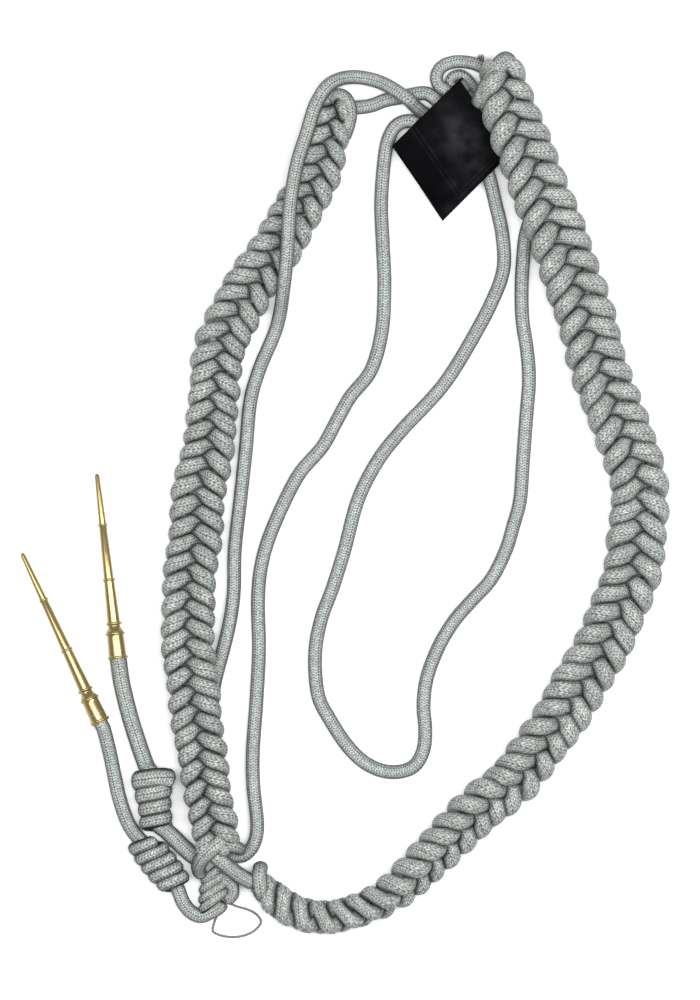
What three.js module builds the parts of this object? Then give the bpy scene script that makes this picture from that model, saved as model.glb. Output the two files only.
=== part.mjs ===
import * as THREE from "three";
import { LoftGeometry } from "three/addons/geometries/LoftGeometry.js";

// A shoulder cord laid flat on a table. Lengths are millimetres. X runs to the right and Y up
// as seen from above, and Z is the height over the table top, which is at zero.

// Cords
const LOOP_CORD = 5.6; // diameter of the three loose loops
const LINK_CORD = 5.6;
const OUTER_TOP_CORD = 5.2;
const INNER_TOP_CORD = 4.4;
const UPPER_PENCIL_CORD = 6.8;
const LOWER_PENCIL_CORD = 5.8;
const JOINT_CORD = 6.4;
const THREAD = 0.8;
const CORD_SIDES = 8;
const GAP = 0.3; // air left between neighbouring pieces

// Plaits
const FRONT = { strand: 3.6, swing: 3.3, firstPeriod: 28.2, lastPeriod: 24.5 };
const REAR = { strand: 3.15, swing: 2.9, firstPeriod: 25, lastPeriod: 21.8 };
const SECTIONS_PER_PERIOD = 8.5;
const SECTION_POINTS = 12;
const FLATNESS = 0.6; // crowds the section's points towards the plait's two edges
const CORE = 1.5; // least distance of the outline from the centreline

// Shoulder tab
const TAB_THICKNESS = 2.4;
const TAB_UNDERSIDE = 8; // height of its flat middle over the table
const TAB_CORNERS = {
  top: [18.6, 165.8],
  left: [-9.4, 138.2],
  right: [39, 136.2],
};
const TAB_CELLS = 10;
const LOWER_CORNER_DROP = 7.7;
const RIGHT_CORNER_DROP = 3;

// Materials
const silver = new THREE.MeshStandardMaterial({ color: 0xa9aea8, roughness: 0.55, metalness: 0.3 });
const cloth = new THREE.MeshStandardMaterial({ color: 0x101114, roughness: 0.7, metalness: 0 });
const brass = new THREE.MeshStandardMaterial({ color: 0xc9a24a, roughness: 0.25, metalness: 1 });
const grey = new THREE.MeshStandardMaterial({ color: 0x8b8d8a, roughness: 0.7, metalness: 0 });

const part = new THREE.Group();

function add(name, geometry, material) {
  const mesh = new THREE.Mesh(geometry, material);
  mesh.name = name;
  part.add(mesh);
  return mesh;
}

// Centreline of each plait from its upper end to its lower end. Columns: x, y, lift of the
// underside over the table, sideways sway of a strand, turn of the plait about its length.
const FRONT_STATIONS = [
  [33.8, 171.8, 7.0, 4.6, -16],
  [35.0, 162.6, 7.0, 6.6, -16],
  [37.0, 154.6, 7.1, 7.9, -16],
  [42.4, 138.2, 7.0, 8.5, -14],
  [49.8, 120.6, 5.8, 8.7, -14],
  [56.2, 102.6, 4.6, 8.8, -13],
  [64.6, 80.8, 1.8, 8.8, -12],
  [75.6, 43.0, 0, 8.6, -12],
  [84.2, 21.4, 0, 8.6, -10],
  [88.8, 6.0, 0, 8.3, -6],
  [90.0, -8.0, 0, 8.4, 0],
  [88.2, -21.8, 0, 8.7, 0],
  [85.0, -38.2, 0, 8.4, -6],
  [77.0, -56.6, 0, 8.2, -12],
  [64.8, -79.4, 0, 8.2, -16],
  [55.6, -93.4, 0, 7.6, -20],
  [40.6, -114.2, 0, 7.2, -26],
  [28.9, -123.8, 0, 7.0, -30],
  [17.7, -134.2, 0, 6.8, -36],
  [6.6, -145.8, 0, 6.2, -44],
  [-5.2, -157.2, 0, 5.2, -58],
  [-15.6, -164.4, 0, 4.2, -74],
  [-29.0, -169.4, 0, 3.2, -86],
  [-39.4, -170.4, 0, 3, -90],
  [-49.0, -167.8, 0, 2.8, -90],
  [-56.8, -162.4, 0, 2.5, -90],
  [-63.0, -156.0, 0, 2.2, -90],
];

const REAR_STATIONS = [
  [-31.6, 156.4, 0, 3.9, -8],
  [-33.8, 147.8, 0, 5.2, -9],
  [-35.8, 138.6, 0, 6.2, -9],
  [-39.6, 127.8, 0, 7.0, -9],
  [-47.0, 112.2, 0, 7.2, -9],
  [-55.0, 99.0, 0, 7.5, -9],
  [-65.4, 83.0, 0, 7.5, -9],
  [-74.0, 68.6, 0, 7.7, -8],
  [-78.8, 55.4, 0, 7.6, -6],
  [-80.6, 40.6, 0, 7.2, -4],
  [-82.2, 22.0, 0, 7.4, -2],
  [-86.0, 4.2, 0, 8.0, 0],
  [-88.0, -15.0, 0, 8.0, 0],
  [-90.2, -34.6, 0.4, 7.8, 2],
  [-91.2, -49.4, 3.6, 7.8, 4],
  [-90.4, -63.4, 6.0, 7.8, 5],
  [-88.8, -80.4, 6.2, 7.7, 6],
  [-85.8, -101.4, 6.2, 7.2, 8],
  [-82.8, -121.4, 6.2, 6.6, 9],
  [-80.0, -136.2, 6.2, 6.6, 9],
  [-78.2, -145.0, 6.2, 5.2, 9],
];

// Centrelines of the cords. Columns: x, y, height of the cord's centre.
const OUTER_LOOP_ROUTE = [
  [9.2, 147.4, 3],
  [3.2, 151.8, 3.4],
  [-0.4, 154.5, 7.4],
  [-4.0, 157.6, 10.4],
  [-14.2, 163.8, 8],
  [-25.4, 165.8, 9],
  [-34.2, 162.6, 13.4],
  [-39.8, 154.4, 16],
  [-43.4, 143.0, 16.8],
  [-47.4, 130.2, 17.6],
  [-50.0, 114.6, 17.8],
  [-51.0, 98.6, 17.6],
  [-52.4, 84.0, 13.6],
  [-55.4, 66.6, 4.4],
  [-62.4, 49.4, 2.9],
  [-66.2, 35.8, 2.9],
  [-68.0, 16.6, 2.9],
  [-70.2, -3.4, 2.9],
  [-72.4, -23.4, 2.9],
  [-72.8, -40.2, 2.9],
  [-74.4, -52.2, 2.9],
  [-77.0, -63.4, 2.9],
  [-80.6, -77.4, 2.9],
  [-83.0, -95.4, 2.9],
  [-82.2, -115.4, 2.9],
  [-80.6, -131.0, 2.9],
];

const INNER_LOOP_ROUTE = [
  [2.8, 144.0, 4.7],
  [-1.0, 148.2, 4.3],
  [-5.8, 147.9, 3.4],
  [-9.2, 144.8, 2.9],
  [-11.6, 138.6, 2.9],
  [-12.9, 128.4, 2.9],
  [-13.7, 114.4, 2.9],
  [-13.0, 98.4, 2.9],
  [-12.4, 82.4, 2.9],
  [-13.4, 64.4, 2.9],
  [-17.8, 48.6, 2.9],
  [-26.2, 37.8, 2.9],
  [-31.8, 27.8, 2.9],
  [-37.4, 17.8, 2.9],
  [-46.0, 7.8, 2.9],
  [-52.2, -3.4, 2.9],
  [-59.0, -19.4, 2.9],
  [-62.2, -32.2, 2.9],
  [-63.1, -45.4, 2.9],
  [-62.7, -63.4, 2.9],
  [-63.7, -83.4, 2.9],
  [-65.1, -103.4, 2.9],
  [-65.0, -117.4, 2.9],
  [-63.4, -133.4, 2.9],
  [-64.8, -141.4, 2.9],
  [-68.4, -145.6, 2.9],
  [-72.6, -146.2, 2.9],
];

const CENTRE_LOOP_ROUTE = [
  [26.6, 133.4, 4.7],
  [29.4, 126.6, 4.0],
  [32.2, 115.4, 2.9],
  [35.0, 102.2, 2.9],
  [35.2, 88.6, 2.9],
  [29.8, 74.2, 2.9],
  [20.2, 56.6, 2.9],
  [12.6, 44.6, 2.9],
  [5.8, 36.4, 2.9],
  [-5.4, 24.6, 2.9],
  [-15.0, 12.4, 2.9],
  [-23.0, -3.4, 2.9],
  [-28.4, -23.4, 2.9],
  [-33.0, -38.2, 2.9],
  [-37.8, -51.4, 2.9],
  [-40.2, -65.4, 2.9],
  [-39.0, -81.6, 2.9],
  [-33.8, -92.2, 2.9],
  [-27.4, -101.8, 2.9],
  [-21.0, -108.2, 2.9],
  [-13.8, -111.8, 2.9],
  [-6.6, -112.4, 2.9],
  [-0.4, -110.0, 2.9],
  [3.2, -103.8, 2.9],
  [4.0, -95.4, 2.9],
  [3.3, -85.4, 2.9],
  [4.8, -74.2, 2.9],
  [9.6, -61.8, 2.9],
  [15.8, -51.6, 2.9],
  [23.0, -43.4, 2.9],
  [30.4, -35.2, 2.9],
  [36.2, -23.8, 2.9],
  [39.4, -13.4, 2.9],
  [42.0, -3.4, 2.9],
  [43.2, 12.6, 2.9],
  [44.4, 28.6, 2.9],
  [45.6, 44.6, 2.9],
  [44.8, 56.6, 2.9],
  [43.0, 68.6, 2.9],
  [42.6, 80.6, 2.9],
  [43.2, 92.6, 2.9],
  [44.4, 103.6, 2.9],
  [47.6, 112.6, 4.0],
];

const LINK_ROUTE = [
  [-22.8, 154.0, 3.6],
  [-17.6, 154.8, 3.1],
  [-11.6, 157.0, 2.9],
  [-3.4, 158.6, 2.9],
  [3.6, 159.8, 2.9],
  [8.0, 157.4, 2.9],
  [10.2, 154.4, 2.9],
];

const OUTER_TOP_ROUTE = [
  [18.4, 155.6, 4.6],
  [13.4, 160.0, 4.6],
  [9.6, 162.6, 4.7],
  [8.4, 166.2, 4.7],
  [10.4, 170.0, 4.7],
  [14.6, 172.0, 4.7],
  [19.4, 172.2, 4.7],
  [24.2, 171.2, 4.7],
  [29.0, 168.8, 4.7],
];

const INNER_TOP_ROUTE = [
  [19.2, 160.2, 2.3],
  [15.4, 162.4, 2.3],
  [14.2, 164.6, 2.3],
  [15.6, 166.6, 2.3],
  [18.6, 167, 2.3],
  [21.4, 164.8, 2.3],
  [23.8, 161.2, 2.3],
  [25.8, 157.0, 2.3],
  [27.8, 152.6, 2.3],
];

const UPPER_PENCIL_ROUTE = [
  [-119.0, -67.8, 4.2],
  [-117.6, -77.4, 3.6],
  [-114.6, -89.6, 3.5],
  [-111.2, -100.6, 3.5],
  [-108.0, -109.6, 4],
];

const UPPER_TAIL_ROUTE = [
  [-99.8, -136.0, 4],
  [-96.8, -138.8, 3.6],
  [-93.0, -142.6, 3.5],
  [-89.0, -146.0, 3.5],
];

const LOWER_PENCIL_ROUTE = [
  [-125.8, -93.4, 4.2],
  [-124.7, -96.0, 3.8],
  [-122.4, -105.4, 3],
  [-120.7, -113.8, 3],
  [-118.8, -122.6, 3],
  [-115.9, -131.4, 3],
  [-112.6, -137.0, 3.4],
];

const LOWER_TAIL_ROUTE = [
  [-95.4, -158.8, 3.8],
  [-93.2, -164.6, 3.1],
  [-90.0, -168.6, 3],
  [-86.0, -170.2, 3],
  [-82.0, -168.6, 3],
];

const JOINT_ROUTE = [
  [-78.0, -146.4, 12.8],
  [-76.6, -149.2, 12.0],
  [-72.2, -152.6, 10.4],
  [-68.2, -153.4, 8.2],
  [-64.7, -154.4, 6.8],
];

const THREAD_ROUTE = [
  [-75.6, -164.2, 1],
  [-72.6, -166.2, 0.5],
  [-67.4, -167.8, 0.5],
  [-63.8, -169.8, 0.5],
  [-62.0, -173.0, 0.5],
  [-65.0, -176.6, 0.5],
  [-70.2, -178.6, 0.5],
  [-76.2, -178.6, 0.5],
  [-81.0, -176.8, 0.5],
  [-80.8, -173.4, 0.5],
  [-79.0, -169.0, 0.5],
  [-77.8, -166.2, 0.5],
];

// Plait of three strands that swing to and fro across the centreline, a third of a period
// apart, each rising over one neighbour and dipping under the other. It is one solid: the
// outline round the strands, taken section by section.

// Tallest point of a strand's centre above the plait's own centre.
function reach(sway, swing, turn) {
  let most = 0;
  for (let degree = 0; degree < 360; degree += 5) {
    const phase = THREE.MathUtils.degToRad(degree);
    const across = sway * Math.sin(phase);
    const above = swing * Math.sin(2 * phase);
    most = Math.max(most, above * Math.cos(turn) + across * Math.sin(turn));
  }
  return most;
}

class Plait {
  constructor(stations, sizes) {
    const points = stations.map(([x, y]) => new THREE.Vector3(x, y, 0));
    this.stations = stations;
    this.sizes = sizes;
    this.axis = new THREE.CatmullRomCurve3(points, false, "catmullrom", 0.5);
    this.axis.arcLengthDivisions = 800;
    this.length = this.axis.getLength();
    this.rate = 1 / sizes.firstPeriod;
    this.gain = (1 / sizes.lastPeriod - this.rate) / (2 * this.length);
  }

  // Periods passed at a distance along the centreline.
  turnsAt(distance) {
    return distance * (this.rate + this.gain * distance);
  }

  // Lift, sway and turn at a share of the length.
  at(share) {
    const place = this.axis.getUtoTmapping(share) * (this.stations.length - 1);
    const row = Math.min(this.stations.length - 2, Math.floor(place));
    const mix = (column) =>
      THREE.MathUtils.lerp(this.stations[row][column], this.stations[row + 1][column], place - row);
    return { lift: mix(2), sway: mix(3), turn: THREE.MathUtils.degToRad(mix(4)) };
  }

  // Whether a point of a section lies inside one of the strands.
  covers(across, above, turns, sway) {
    const { strand, swing, firstPeriod } = this.sizes;
    for (let third = 0; third < 3; third += 1) {
      for (let step = -6; step <= 6; step += 1) {
        const phase = 2 * Math.PI * (turns + third / 3 + step / 36);
        const aside = across - sway * Math.sin(phase);
        const over = above - swing * Math.sin(2 * phase);
        if (Math.hypot(aside, over, (step / 36) * firstPeriod) < strand) return true;
      }
    }
    return false;
  }

  // Points round the plait at a share of its length.
  section(share) {
    const { strand, swing } = this.sizes;
    const { lift, sway, turn } = this.at(share);
    const turns = this.turnsAt(share * this.length);
    const ahead = this.axis.getTangentAt(share);
    const centre = this.axis.getPointAt(share);
    const middle = lift + strand + reach(sway, swing, turn);
    const points = [];
    for (let i = 0; i < SECTION_POINTS; i += 1) {
      const angle = (2 * Math.PI * i) / SECTION_POINTS;
      const ray = new THREE.Vector2(Math.cos(angle), FLATNESS * Math.sin(angle)).normalize();
      let far = sway + strand + 1;
      while (far > CORE && !this.covers(ray.x * far, ray.y * far, turns, sway)) far -= 0.1;
      const side = far * (ray.x * Math.cos(turn) - ray.y * Math.sin(turn));
      const up = far * (ray.x * Math.sin(turn) + ray.y * Math.cos(turn));
      points.push(
        new THREE.Vector3(centre.x - side * ahead.y, centre.y + side * ahead.x, middle + up),
      );
    }
    return points;
  }
}

function makePlait(name, stations, sizes) {
  const plait = new Plait(stations, sizes);
  const count = Math.round(plait.turnsAt(plait.length) * SECTIONS_PER_PERIOD);
  const sections = [];
  for (let i = 0; i <= count; i += 1) sections.push(plait.section(i / count));
  return add(name, new LoftGeometry(sections, { capStart: true, capEnd: true }), silver);
}

function roundSection(radius) {
  return new THREE.Shape().absarc(0, 0, radius, 0, 2 * Math.PI);
}

function makeCord(name, route, diameter, material = silver) {
  const points = route.map((row) => new THREE.Vector3(...row));
  const path = new THREE.CatmullRomCurve3(points, false, "catmullrom", 0.5);
  const steps = Math.min(80, Math.ceil(path.getLength() / (2 * diameter)));
  const geometry = new THREE.ExtrudeGeometry(roundSection(diameter / 2), {
    steps,
    curveSegments: CORD_SIDES / 2, // an arc gives two sides for each
    bevelEnabled: false,
    extrudePath: path,
  });
  return add(name, geometry, material);
}

// Lathe body whose own Y axis is laid along the line between two points.
function layAlong(mesh, from, to) {
  const start = new THREE.Vector3(...from);
  const ahead = new THREE.Vector3(...to).sub(start).normalize();
  mesh.quaternion.setFromUnitVectors(new THREE.Vector3(0, 1, 0), ahead);
  mesh.position.copy(start);
}

// Wound knot: equal wraps of cord side by side, flattened against the table.
function makeKnot(name, from, to, halfWidth, halfHeight, wraps) {
  const length = Math.hypot(to[0] - from[0], to[1] - from[1]);
  const wrap = length / wraps;
  const profile = [new THREE.Vector2(0, 0)];
  for (let turn = 0; turn < wraps; turn += 1) {
    const first = turn === 0 ? 0 : 0.12;
    const last = turn === wraps - 1 ? 1 : 0.88;
    profile.push(new THREE.Vector2(halfWidth * 0.86, (turn + first) * wrap));
    profile.push(new THREE.Vector2(halfWidth, (turn + 0.35) * wrap));
    profile.push(new THREE.Vector2(halfWidth, (turn + 0.65) * wrap));
    profile.push(new THREE.Vector2(halfWidth * 0.86, (turn + last) * wrap));
  }
  profile.push(new THREE.Vector2(0, length));
  const geometry = new THREE.LatheGeometry(profile, 12);
  geometry.scale(1, 1, halfHeight / halfWidth);
  geometry.rotateZ(Math.atan2(to[1] - from[1], to[0] - from[0]) - Math.PI / 2);
  geometry.translate(from[0], from[1], halfHeight + GAP / 2);
  return add(name, geometry, silver);
}

// Profile of a ferrule from its tip to its open end. Columns: radius, distance from the tip.
const FERRULE_PROFILE = [
  [0, 0],
  [0.7, 0.3],
  [0.95, 1.2],
  [1.45, 20.2],
  [1.95, 20.4],
  [1.95, 21.2],
  [1.5, 21.4],
  [1.95, 42.4],
  [2.55, 42.6],
  [2.55, 43.4],
  [2.05, 43.6],
  [2.5, 60],
  [3.2, 60.2],
  [3.2, 61],
  [2.5, 61.2],
  [2.55, 62.8],
  [3.9, 64.2],
  [3.9, 65.2],
  [3.3, 65.6],
  [3.5, 73.4],
  [4.15, 73.8],
  [4.15, 75],
  [0, 75],
];

// Cut end of a cord, rounded over.
function makeStub(name, from, to, diameter) {
  const radius = diameter / 2;
  const length = Math.hypot(to[0] - from[0], to[1] - from[1], to[2] - from[2]);
  const geometry = new THREE.CapsuleGeometry(radius, length - diameter, 3, 10);
  geometry.translate(0, length / 2, 0);
  const mesh = add(name, geometry, silver);
  layAlong(mesh, from, to);
  return mesh;
}

function makeFerrule(name, tip, end) {
  const profile = FERRULE_PROFILE.map(([radius, along]) => new THREE.Vector2(radius, along));
  const mesh = add(name, new THREE.LatheGeometry(profile, 12), brass);
  layAlong(mesh, tip, end);
  return mesh;
}

// Shoulder tab: a slanted square of cloth, flat in the middle, its lower corner hanging to the
// table and its right corner sinking under the front plait.
function tabHeight(across, down) {
  const lower = THREE.MathUtils.smoothstep(across + down, 1.45, 2);
  const right = THREE.MathUtils.smoothstep(across - down, 0.6, 1);
  return TAB_UNDERSIDE - LOWER_CORNER_DROP * lower - RIGHT_CORNER_DROP * right;
}

function makeTab(name) {
  const { top, left, right } = TAB_CORNERS;
  const geometry = new THREE.BoxGeometry(1, 1, TAB_THICKNESS, TAB_CELLS, TAB_CELLS, 1);
  const place = geometry.attributes.position;
  for (let i = 0; i < place.count; i += 1) {
    const across = place.getX(i) + 0.5;
    const down = 0.5 - place.getY(i);
    const x = top[0] + across * (right[0] - top[0]) + down * (left[0] - top[0]);
    const y = top[1] + across * (right[1] - top[1]) + down * (left[1] - top[1]);
    const z = tabHeight(across, down) + TAB_THICKNESS / 2 + place.getZ(i);
    place.setXYZ(i, x, y, z);
  }
  return add(name, geometry, cloth);
}

makePlait("front_plait", FRONT_STATIONS, FRONT);
makePlait("rear_plait", REAR_STATIONS, REAR);
makeTab("shoulder_tab");

makeCord("outer_loop_cord", OUTER_LOOP_ROUTE, LOOP_CORD);
makeCord("inner_loop_cord", INNER_LOOP_ROUTE, LOOP_CORD);
makeCord("centre_loop_cord", CENTRE_LOOP_ROUTE, LOOP_CORD);
makeCord("link_cord", LINK_ROUTE, LINK_CORD);
makeCord("top_loop_outer", OUTER_TOP_ROUTE, OUTER_TOP_CORD);
makeCord("top_loop_inner", INNER_TOP_ROUTE, INNER_TOP_CORD);
makeCord("joint_cord", JOINT_ROUTE, JOINT_CORD);
makeCord("thread_loop", THREAD_ROUTE, THREAD, grey);

makeFerrule("upper_ferrule", [-127.8, 7.2, 1.1], [-119.1, -67.4, 4.35]);
makeCord("upper_pencil_cord", UPPER_PENCIL_ROUTE, UPPER_PENCIL_CORD);
makeKnot("upper_knot", [-106.2, -111.0], [-103.6, -133.8], 8, 6, 4);
makeCord("upper_pencil_tail", UPPER_TAIL_ROUTE, UPPER_PENCIL_CORD);

makeFerrule("lower_ferrule", [-157.9, -24.7, 1.1], [-126.1, -92.7, 4.35]);
makeCord("lower_pencil_cord", LOWER_PENCIL_ROUTE, LOWER_PENCIL_CORD);
makeKnot("lower_knot", [-109.6, -139.6], [-96.0, -157.8], 7.2, 5.6, 5);
makeCord("lower_pencil_tail", LOWER_TAIL_ROUTE, LOWER_PENCIL_CORD);

makeKnot("joint_knot", [-80.2, -150.4], [-81.2, -165.6], 6, 4.4, 4);
makeStub("joint_stub", [-74.6, -159.1, 3.2], [-67.2, -161.6, 3.2], 5.2);

export default part;
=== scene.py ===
import math
import random

import bmesh
import bpy
import numpy as np
from mathutils import Matrix, Vector
from mathutils.kdtree import KDTree


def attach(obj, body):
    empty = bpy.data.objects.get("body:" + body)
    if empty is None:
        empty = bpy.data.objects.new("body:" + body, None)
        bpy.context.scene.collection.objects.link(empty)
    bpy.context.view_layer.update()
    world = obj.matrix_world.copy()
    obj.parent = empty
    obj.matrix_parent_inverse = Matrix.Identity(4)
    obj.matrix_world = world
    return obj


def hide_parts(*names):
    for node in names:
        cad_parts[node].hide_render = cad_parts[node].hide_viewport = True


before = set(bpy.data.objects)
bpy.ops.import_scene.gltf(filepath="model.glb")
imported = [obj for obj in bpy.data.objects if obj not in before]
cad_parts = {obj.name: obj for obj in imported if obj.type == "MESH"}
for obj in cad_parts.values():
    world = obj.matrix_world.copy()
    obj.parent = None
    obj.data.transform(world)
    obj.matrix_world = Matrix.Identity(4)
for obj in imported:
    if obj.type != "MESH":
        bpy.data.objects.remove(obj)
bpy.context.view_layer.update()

MM = 0.001
BODY = "root"
UP = np.array([0.0, 0.0, 1.0])

# Camera: straight above the laid-out cord, as the photograph is taken.
PIXEL = 0.4 * MM
IMAGE_HEIGHT = 1000
VIEW_CENTRE = (-0.0262, -0.0034, 0.009)
LENS_MM = 200
SENSOR_MM = 36

# Smooth lines: samples between two listed points, and the fewest steps of a finished line.
SPAN_SAMPLES = 60
FEWEST_STEPS = 8
# Points that lie closer than this are merged.
MERGE_DISTANCE = 1e-6

# Diameters of the cords and the thread.
LOOP_CORD = 0.0056
LINK_CORD = 0.0056
OUTER_TOP_CORD = 0.0052
INNER_TOP_CORD = 0.0044
UPPER_PENCIL_CORD = 0.0068
LOWER_PENCIL_CORD = 0.0058
JOINT_CORD = 0.0064
STUB_CORD = 0.0052
THREAD = 0.0010

# Braided sleeve: ribs of stitches run along the cord, and each slants against its neighbours. A
# row of open gaps runs beside every fourth. LAID_CAP is the reach of a loose cord's rounded ends.
STITCH = 1.1 * MM
RIB_WIDTH = 1.1 * MM
GROOVE = 0.11 * MM
CROWN = 0.04 * MM
RIBS_PER_ROW = 4
LAID_CAP = 0.6

# Shade on a cord's sides: its depth, and the upward lean of the surface where it is full and gone.
SIDE_SHADE = 0.68
SHADED_LEAN = (0.35, 0.9)

# Colours, as red, green and blue in linear light. The braids have a dull thread colour and a
# bright one that paints the glints of single stitches.
LOOP_THREAD_AND_GLINT = ((0.22, 0.237, 0.226), (0.475, 0.503, 0.482))
PLAIT_THREAD_AND_GLINT = ((0.185, 0.2, 0.19), (0.495, 0.523, 0.5))
# Painted shade in the braid's open gaps and between its stitches.
BRAID_GAP_SHADE = (0.016, 0.018, 0.017)
# Painted shade on the cords' sides and undersides, on the knots' wrap edges and in the plaits' crevices.
BRAID_PAINTED_SHADE = (0.004, 0.0045, 0.0042)
DARK_NAP = (0.0014, 0.0015, 0.0019)
# Painted sheen on the black cloth.
PAINTED_SHEEN_NAP = (0.0175, 0.0177, 0.0195)
LINING = (0.12, 0.125, 0.12)
DEEP_GOLD = (0.82, 0.75, 0.44)
PALE_GOLD = (0.95, 0.9, 0.62)
# Tarnish beside the ferrules' rings, and painted shade underneath them.
TARNISH_AND_SHADE = (0.28, 0.215, 0.09)
# Painted shade between a thread's plies, and a painted highlight on their crests.
SHADED_PLY = (0.064, 0.064, 0.063)
LIT_PLY = (0.135, 0.135, 0.132)
TABLE_TOP = (0.78, 0.78, 0.78, 1)


def add_object(name, data):
    made = bpy.data.objects.new(name, data)
    bpy.context.scene.collection.objects.link(made)
    return made


def make_camera():
    data = bpy.data.cameras.new("camera")
    data.lens = LENS_MM
    data.sensor_width = SENSOR_MM
    camera = add_object("camera", data)
    distance = IMAGE_HEIGHT * PIXEL * LENS_MM / SENSOR_MM
    camera.location = Vector(VIEW_CENTRE) + Vector((0, 0, distance))
    data.clip_end = 3 * distance
    bpy.context.scene.camera = camera


# Smooth curve through given points, with its first and last points mirrored past the ends.
# place counts along it in points, so 1.5 lies halfway between the second and the third.
def curve_at(points, place):
    rows = np.array(points, float)
    rows = np.vstack([2 * rows[0] - rows[1], rows, 2 * rows[-1] - rows[-2]])
    span = np.minimum(place.astype(int), len(points) - 2)
    t = (place - span)[:, None]
    a, b, c, d = (rows[span + i] for i in range(4))
    leave, arrive = (c - a) / 2, (d - b) / 2
    line = b + leave * t + (3 * (c - b) - 2 * leave - arrive) * t**2
    return line + (2 * (b - c) + leave + arrive) * t**3


def close_places(points):
    spans = len(points) - 1
    return np.linspace(0, spans, SPAN_SAMPLES * spans + 1)


def spline(points, step):
    return evenly(curve_at(points, close_places(points)), step)


# Places along the curve, counted in points, that lie at even distances.
def even_places(points, count):
    place = close_places(points)
    along = lengths_along(curve_at(points, place))
    return np.interp(np.linspace(0, along[-1], count), along, place)


def lengths_along(line):
    return np.concatenate([[0], np.cumsum(np.linalg.norm(np.diff(line, axis=0), axis=1))])


# Rows at even steps along their first three columns.
def evenly(line, step):
    along = lengths_along(line[:, :3])
    count = max(FEWEST_STEPS, 2 * round(along[-1] / step / 2))
    wanted = np.linspace(0, along[-1], count + 1)
    return np.column_stack([np.interp(wanted, along, line[:, i]) for i in range(line.shape[1])])


def unit(rows):
    return rows / np.linalg.norm(rows, axis=-1, keepdims=True)


def smoothstep(value, low, high):
    share = np.clip((value - low) / (high - low), 0, 1)
    return share * share * (3 - 2 * share)


# Directions across a line and away from it, at each of its points.
def directions(line, normals):
    ahead = unit(np.gradient(line, axis=0))
    outward = unit(normals - ahead * np.sum(normals * ahead, axis=1, keepdims=True))
    return np.cross(ahead, outward), outward


# Mesh of a finished shape, with its faces shaded smooth unless they are to look flat.
def mesh_from(shape, name, smooth=True):
    for face in shape.faces:
        face.smooth = smooth
    mesh = bpy.data.meshes.new(name)
    shape.to_mesh(mesh)
    shape.free()
    return mesh


def finish_mesh(piece, mesh, slot, material, *nodes):
    mesh.name = piece
    made = add_object(piece, mesh)
    mesh.materials.append(material)
    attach(made, BODY)
    if nodes:
        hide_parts(*nodes)
    return made


# Sheet of squares rolled round a line: rings follow the line and columns go round it.
def rolled_grid(rings, columns, place, uv_scale):
    shape = bmesh.new()
    bmesh.ops.create_grid(shape, x_segments=columns, y_segments=rings, size=0.5)
    mesh = mesh_from(shape, "rolled", smooth=False)
    flat = np.empty(len(mesh.vertices) * 3)
    mesh.vertices.foreach_get("co", flat)
    flat = flat.reshape(-1, 3)
    column = np.rint((flat[:, 0] + 0.5) * columns).astype(int)
    ring = np.rint((flat[:, 1] + 0.5) * rings).astype(int)
    mesh.vertices.foreach_set("co", place(ring, column).ravel())
    corner = np.empty(len(mesh.loops), int)
    mesh.loops.foreach_get("vertex_index", corner)
    layer = mesh.uv_layers.new(name="UVMap")
    uv = np.column_stack([column * uv_scale[0], ring * uv_scale[1]])[corner]
    layer.data.foreach_set("uv", uv.ravel())
    shape = bmesh.new()
    shape.from_mesh(mesh)
    bmesh.ops.remove_doubles(shape, verts=shape.verts, dist=MERGE_DISTANCE)
    bmesh.ops.recalc_face_normals(shape, faces=shape.faces)
    for face in shape.faces:
        face.smooth = True
    shape.to_mesh(mesh)
    shape.free()
    return mesh


# Braided cord along a line. wide is its half-width across the normals and thick its half-width
# along them, one number or one for each ring. twist turns its ribs, in radians a metre. cap is
# the reach of its rounded ends in half-widths, and shade darkens its sides and its underside.
def braided_sleeve(line, normals, wide, thick, ribs, twist=0.0, cap=1.0, shade=0.0):
    rings = len(line) - 1
    along = lengths_along(line)
    across, outward = directions(line, normals)
    wide = np.broadcast_to(wide, rings + 1)
    thick = np.broadcast_to(thick, rings + 1)
    reach = cap * np.minimum(wide, thick)
    inset = np.minimum(along, along[-1] - along)
    rounding = np.sqrt(np.clip(1 - np.clip(1 - inset / reach, 0, 1) ** 2, 0, 1))
    columns = 2 * ribs

    def place(ring, column):
        angle = 2 * math.pi * column / columns + twist * along[ring]
        relief = np.where(column % 2 == 0, -GROOVE, np.where(ring % 2 == 0, 0.0, CROWN))
        size = rounding[ring][:, None]
        side = ((wide[ring] + relief) * np.cos(angle))[:, None]
        rise = ((thick[ring] + relief) * np.sin(angle))[:, None]
        return line[ring] + size * (side * across[ring] + rise * outward[ring])

    mesh = rolled_grid(rings, columns, place, (1 / 2, 1 / 2))
    # Painted shade on the sides and the underside.
    if shade:
        mark_shade_and_tarnish(mesh, lambda vert: shade * (1 - smoothstep(vert.normal.z, *SHADED_LEAN)))
    return mesh


# Stores each point's painted shade, and on the ferrules their tarnish as well, from 0 in the open
# to 1 in a crevice.
def mark_shade_and_tarnish(mesh, measure):
    layer = mesh.attributes.new("painted_shade_and_tarnish", "FLOAT", "POINT")
    layer.data.foreach_set("value", [measure(vert) for vert in mesh.vertices])


# Number of ribs round a cord, in whole sets between its rows of open gaps.
def ribs_round(wide, thick):
    return RIBS_PER_ROW * max(2, round(math.pi * (wide + thick) / RIB_WIDTH / RIBS_PER_ROW))


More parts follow.
